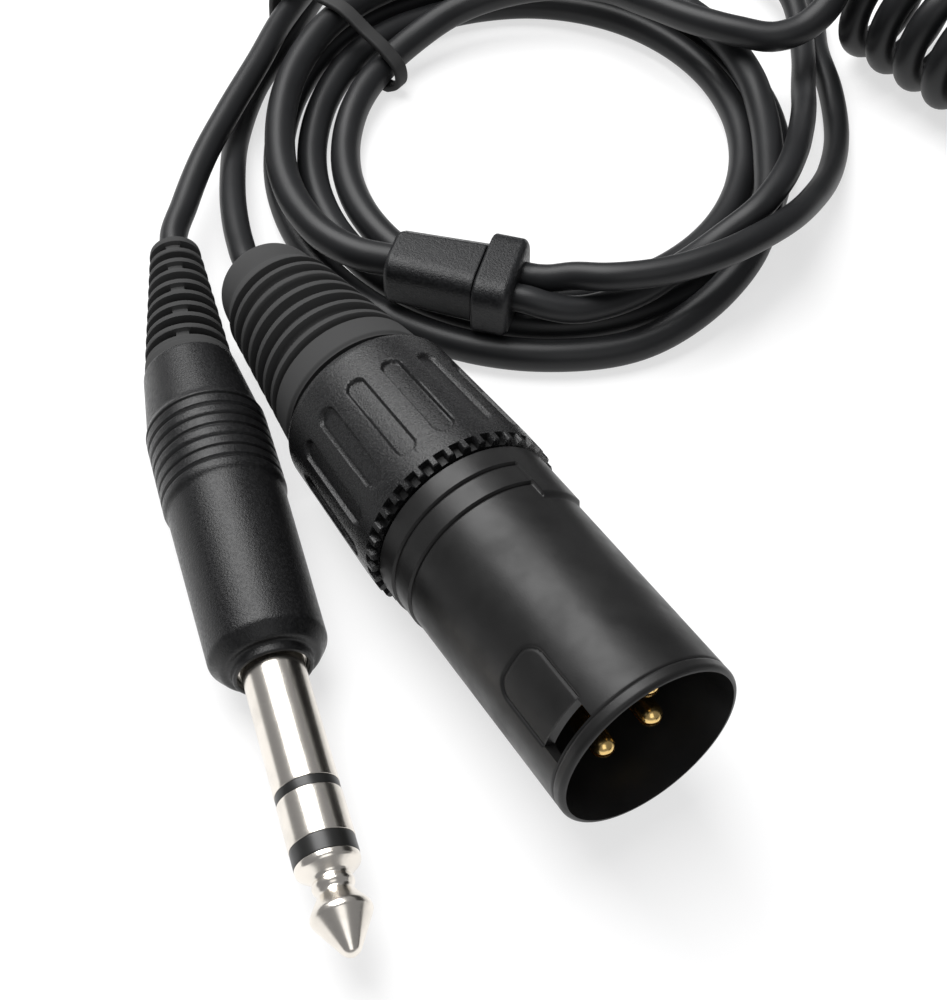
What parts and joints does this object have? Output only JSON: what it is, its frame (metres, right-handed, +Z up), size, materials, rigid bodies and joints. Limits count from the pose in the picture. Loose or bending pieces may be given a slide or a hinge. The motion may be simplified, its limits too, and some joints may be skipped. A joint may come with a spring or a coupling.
{
  "type": "xlr cable coil",
  "caption": "Coiled black audio cable that splits to a screw-collar XLR plug and a stereo jack plug, with a tied coil and a curly cord ending in a small round plug.",
  "frame": {"origin": "centre of the plugs, splitter and tie in plan, on the table they lie on", "axes": "+Z up from the table, +Y away from the viewer of the picture, +X to the right"},
  "size_m": [0.14, 0.1981, 0.0243],
  "materials": {
    "shell_plastic": "smooth satin black",
    "grained_plastic": "fine-grained black",
    "carrier_plastic": "plain black",
    "handle_plastic": "satin black",
    "grip_plastic": "plain off-white, hidden",
    "boot_rubber": "matt black",
    "cable_rubber": "satin black sheath",
    "tie_plastic": "matt black",
    "nickel": "bright nickel plate",
    "gold": "gold plate on brass",
    "conductor": "copper core"
  },
  "bodies": {
    "cable_set": {"xlr_shell": "shell_plastic", "xlr_insert": "carrier_plastic", "xlr_contact_1": "gold", "xlr_contact_2": "gold", "xlr_contact_3": "gold", "xlr_conductors": "conductor", "jack_handle": "handle_plastic", "jack_strain_relief": "boot_rubber", "jack_sleeve": "nickel", "jack_rear_insulator": "carrier_plastic", "jack_ring": "nickel", "jack_front_insulator": "carrier_plastic", "jack_tip": "nickel", "jack_conductors": "conductor", "splitter_body": "grained_plastic", "splitter_cap": "grained_plastic", "splitter_conductors": "conductor", "trunk_coil": "cable_rubber", "curly_cord": "cable_rubber", "curly_tail": "cable_rubber", "xlr_leg": "cable_rubber", "jack_leg": "cable_rubber", "cable_tie": "tie_plastic", "round_shell": "handle_plastic", "round_insert": "carrier_plastic", "round_contacts_set": "gold", "round_boot": "boot_rubber", "round_conductors": "conductor"},
    "cable_grip": {"xlr_chuck": "grip_plastic"},
    "screw_collar": {"xlr_collar": "grained_plastic", "xlr_boot": "boot_rubber"},
    "latch_button": {"round_latch": "handle_plastic"}
  },
  "joints": [
    {"name": "grip_slide", "type": "slide", "parent": "cable_set", "child": "cable_grip", "axis": [-0.5272, 0.8454, -0.0854], "range_m": [0, 0.0015]},
    {"name": "collar_turn", "type": "hinge", "parent": "cable_grip", "child": "screw_collar", "pos_m": [-0.0156, -0.01469, 0.01205], "axis": [-0.5272, 0.8454, -0.0854], "range_deg": [0, 360.5]},
    {"name": "latch_press", "type": "slide", "parent": "cable_set", "child": "latch_button", "axis": [0, 0, -1], "range_m": [0, 0.0009], "stiffness_N_per_m": 900, "springref_m": -0.0005}
  ],
  "couplings": [
    {"joint": "collar_turn", "follows": "grip_slide", "rad_per_m": 4188.8}
  ]
}
